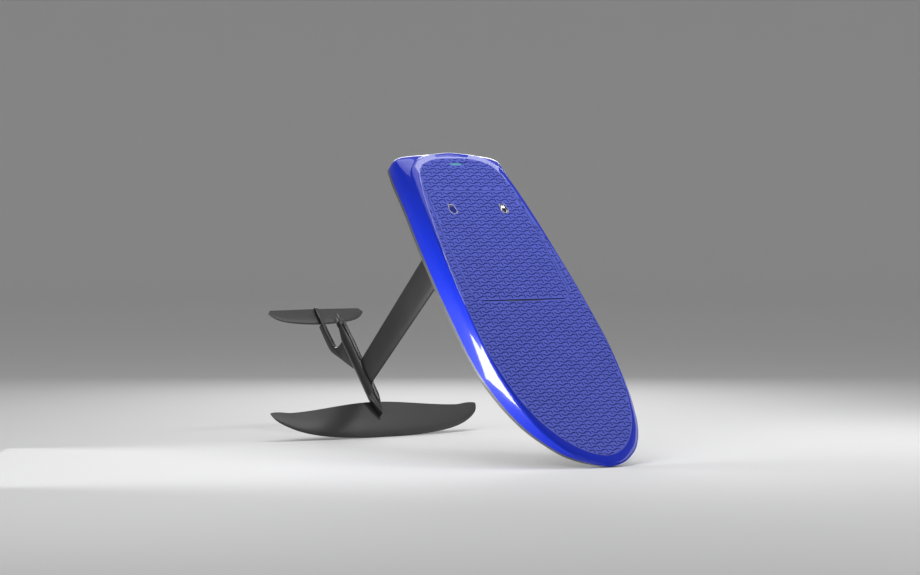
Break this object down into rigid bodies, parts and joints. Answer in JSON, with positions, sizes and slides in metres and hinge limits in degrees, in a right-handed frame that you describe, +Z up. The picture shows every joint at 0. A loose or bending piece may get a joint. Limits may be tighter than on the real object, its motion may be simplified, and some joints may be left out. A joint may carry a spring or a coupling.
{
  "type": "electric hydrofoil board",
  "caption": "Electric hydrofoil board with a padded deck and hatch, a tall mast, a motor pod with a folding propeller, and front and rear wings, standing on its nose and front wing.",
  "frame": {"origin": "on the floor, centred under the bounding box of the board as it stands leaning on its nose and front wing", "axes": "+X horizontal in the plane of symmetry, from the leaning board's tail side towards its nose, +Y to port, +Z up; the board's own long axis points forward and 48.1 degrees down"},
  "size_m": [2.0388, 0.976, 1.1312],
  "materials": {
    "blue_gloss_shell": "glossy clear-coated deep blue over a fine weave",
    "blue_eva_pad": "matte closed-cell foam, periwinkle blue with darker grooves",
    "satin_carbon": "dark grey satin laminate",
    "white_core_foam": "off-white rigid foam",
    "polished_steel": "polished",
    "brushed_steel": "brushed",
    "anodised_aluminium": "dark anodised",
    "black_rubber": "matte",
    "black_plastic": "fine matte",
    "copper_windings": "enamelled copper",
    "teal_light": "translucent teal lens"
  },
  "bodies": {
    "board": {"battery_bay": "black_plastic", "battery_handle": "black_rubber", "battery_pack": "black_plastic", "bottom_shell": "satin_carbon", "deck_pad": "blue_eva_pad", "deck_shell": "blue_gloss_shell", "foam_core": "white_core_foam", "front_bearing": "brushed_steel", "front_spine": "satin_carbon", "front_wing": "satin_carbon", "front_wing_screw_1": "brushed_steel", "front_wing_screw_2": "brushed_steel", "hatch_seal": "black_rubber", "hinge_leaf_deck": "brushed_steel", "hinge_pin": "brushed_steel", "light_driver": "black_plastic", "mast": "satin_carbon", "mast_base_plate": "anodised_aluminium", "mast_bolt_1": "brushed_steel", "mast_bolt_2": "brushed_steel", "mast_bolt_3": "brushed_steel", "mast_bolt_4": "brushed_steel", "mast_collar": "satin_carbon", "mast_mount_block": "black_plastic", "motor_controller": "anodised_aluminium", "motor_housing": "satin_carbon", "motor_stator": "copper_windings", "phase_cable": "black_rubber", "pod_nose": "satin_carbon", "power_connector": "anodised_aluminium", "rear_spine": "satin_carbon", "rear_wing": "satin_carbon", "rear_wing_screw_1": "brushed_steel", "rear_wing_screw_2": "brushed_steel", "shaft_bearing": "brushed_steel", "shaft_seal": "black_rubber", "status_light": "teal_light", "tail_boom": "satin_carbon", "tail_cone": "satin_carbon"},
    "hatch": {"hatch_lid": "satin_carbon", "hatch_pad": "blue_eva_pad", "hinge_leaf_lid": "brushed_steel", "latch_cup_port": "brushed_steel", "latch_cup_starboard": "brushed_steel", "latch_pin_port": "brushed_steel", "latch_pin_starboard": "brushed_steel"},
    "ring_port": {"latch_ring_port": "polished_steel"},
    "ring_starboard": {"latch_ring_starboard": "polished_steel"},
    "bolt_port": {"latch_bolt_port": "brushed_steel"},
    "bolt_starboard": {"latch_bolt_starboard": "brushed_steel"},
    "propeller": {"prop_hub": "anodised_aluminium", "prop_shaft": "brushed_steel", "motor_rotor": "brushed_steel", "blade_pin_upper": "brushed_steel", "blade_pin_lower": "brushed_steel"},
    "blade_upper": {"prop_blade_upper": "satin_carbon"},
    "blade_lower": {"prop_blade_lower": "satin_carbon"}
  },
  "joints": [
    {"name": "hatch_hinge", "type": "hinge", "parent": "board", "child": "hatch", "pos_m": [0.47726, 0, 0.57775], "axis": [0, 1, 0], "range_deg": [0, 100]},
    {"name": "ring_port_lift", "type": "hinge", "parent": "hatch", "child": "ring_port", "pos_m": [0.1649, 0.1186, 0.92719], "axis": [0, -1, 0], "range_deg": [0, 90], "stiffness_Nm_per_rad": 0.01, "springref_deg": -17.19},
    {"name": "bolt_port_slide", "type": "slide", "parent": "hatch", "child": "bolt_port", "axis": [0.6674, 0, -0.7447], "range_m": [0, 0.008]},
    {"name": "ring_starboard_lift", "type": "hinge", "parent": "hatch", "child": "ring_starboard", "pos_m": [0.1649, -0.1186, 0.92719], "axis": [0, -1, 0], "range_deg": [0, 90], "stiffness_Nm_per_rad": 0.01, "springref_deg": -17.19},
    {"name": "bolt_starboard_slide", "type": "slide", "parent": "hatch", "child": "bolt_starboard", "axis": [0.6674, 0, -0.7447], "range_m": [0, 0.008]},
    {"name": "propeller_spin", "type": "hinge", "parent": "board", "child": "propeller", "pos_m": [-0.81529, 0, 0.43655], "axis": [0.6674, 0, -0.7447], "continuous": true},
    {"name": "blade_upper_fold", "type": "hinge", "parent": "propeller", "child": "blade_upper", "pos_m": [-0.80725, 0, 0.44376], "axis": [0, 1, 0], "range_deg": [0, 80], "stiffness_Nm_per_rad": 0.003, "springref_deg": -34.38},
    {"name": "blade_lower_fold", "type": "hinge", "parent": "propeller", "child": "blade_lower", "pos_m": [-0.82333, 0, 0.42934], "axis": [0, -1, 0], "range_deg": [0, 80], "stiffness_Nm_per_rad": 0.003, "springref_deg": -34.38}
  ],
  "couplings": [
    {"joint": "bolt_port_slide", "follows": "ring_port_lift", "m_per_rad": 0.005087},
    {"joint": "bolt_starboard_slide", "follows": "ring_starboard_lift", "m_per_rad": 0.005087}
  ]
}
